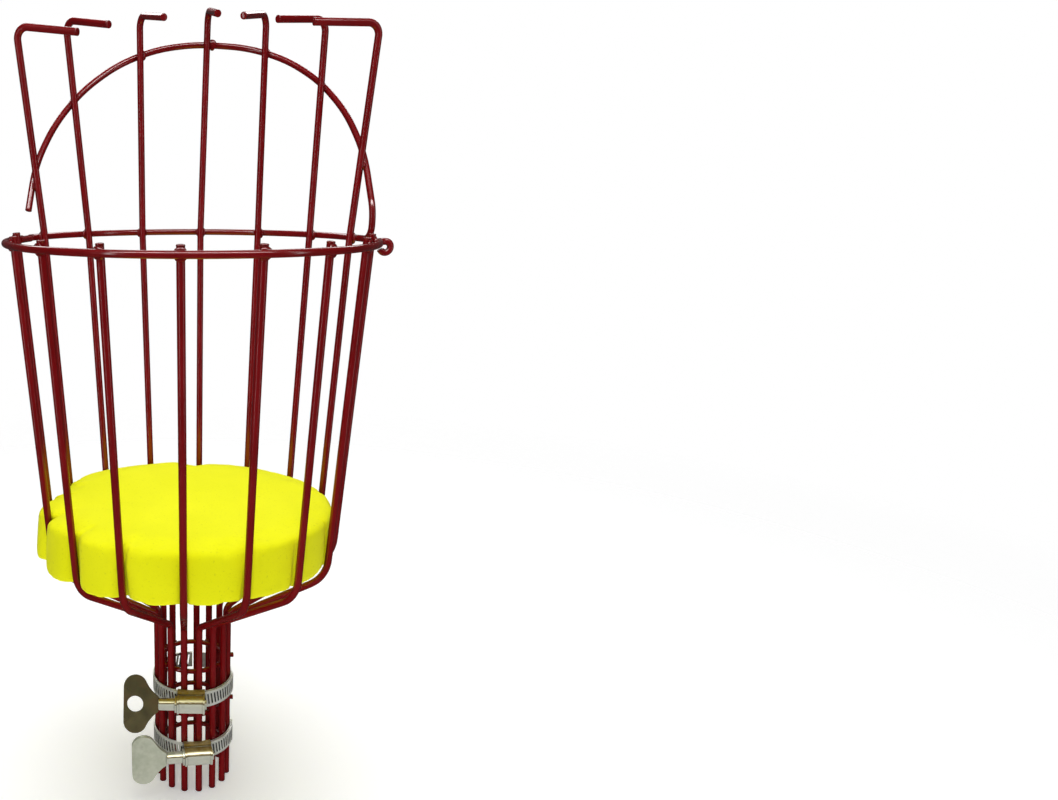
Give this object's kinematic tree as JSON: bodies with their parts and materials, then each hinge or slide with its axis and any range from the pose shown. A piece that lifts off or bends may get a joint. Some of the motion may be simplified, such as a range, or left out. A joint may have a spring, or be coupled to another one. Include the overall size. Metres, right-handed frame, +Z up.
{
  "type": "fruit picker basket",
  "caption": "Wire cage for picking fruit with a pole: inward-hooked rear wires, low open front, foam pad inside and a clamped pole socket below.",
  "frame": {"origin": "centre of the pole socket's lower mouth", "axes": "+Z up the pole through the basket, -Y towards the low front where fruit enters, -X towards the clamp keys"},
  "size_m": [0.1584, 0.1601, 0.3504],
  "materials": {
    "cage_paint": "glossy dark red powder coat",
    "yellow_foam": "bright yellow fine-celled foam with a smooth skin",
    "band_steel": "bright stainless strip",
    "passivated_zinc": "yellow passivated zinc plate",
    "bronze_zinc": "dull yellow-olive zinc plate",
    "bright_zinc": "dull silver zinc plate"
  },
  "bodies": {
    "cage": {"foam_pad": "yellow_foam", "front_rim": "cage_paint", "hooked_wire_1": "cage_paint", "hooked_wire_2": "cage_paint", "hooked_wire_3": "cage_paint", "hooked_wire_4": "cage_paint", "hooked_wire_5": "cage_paint", "hooked_wire_6": "cage_paint", "hooked_wire_7": "cage_paint", "lower_clamp_band": "band_steel", "lower_clamp_housing": "passivated_zinc", "lower_guide_ring": "cage_paint", "middle_guide_ring": "cage_paint", "rear_rim_and_arch": "cage_paint", "short_wire_1": "cage_paint", "short_wire_2": "cage_paint", "short_wire_3": "cage_paint", "short_wire_4": "cage_paint", "short_wire_5": "cage_paint", "short_wire_6": "cage_paint", "short_wire_7": "cage_paint", "short_wire_8": "cage_paint", "short_wire_9": "cage_paint", "upper_clamp_band": "band_steel", "upper_clamp_housing": "passivated_zinc", "upper_guide_ring": "cage_paint"},
    "upper_screw": {"upper_worm_screw": "passivated_zinc", "upper_thumb_key": "bronze_zinc"},
    "upper_tail": {"upper_clamp_tail": "band_steel"},
    "lower_screw": {"lower_worm_screw": "passivated_zinc", "lower_thumb_key": "bright_zinc"},
    "lower_tail": {"lower_clamp_tail": "band_steel"}
  },
  "joints": [
    {"name": "upper_key_turn", "type": "hinge", "parent": "cage", "child": "upper_screw", "pos_m": [-0.00066, -0.02237, 0.0496], "axis": [0.9996, -0.0297, 0], "range_deg": [-1530, 810]},
    {"name": "upper_tail_feed", "type": "hinge", "parent": "cage", "child": "upper_tail", "pos_m": [0, 0, 0.0496], "axis": [0, 0, 1], "range_deg": [-21.25, 11.25]},
    {"name": "lower_key_turn", "type": "hinge", "parent": "cage", "child": "lower_screw", "pos_m": [0.00265, -0.02222, 0.0227], "axis": [0.993, 0.1184, 0], "range_deg": [-1530, 810]},
    {"name": "lower_tail_feed", "type": "hinge", "parent": "cage", "child": "lower_tail", "pos_m": [0, 0, 0.0227], "axis": [0, 0, 1], "range_deg": [-21.25, 11.25]}
  ],
  "couplings": [
    {"joint": "upper_tail_feed", "follows": "upper_key_turn", "ratio": 0.013889},
    {"joint": "lower_tail_feed", "follows": "lower_key_turn", "ratio": 0.013889}
  ]
}
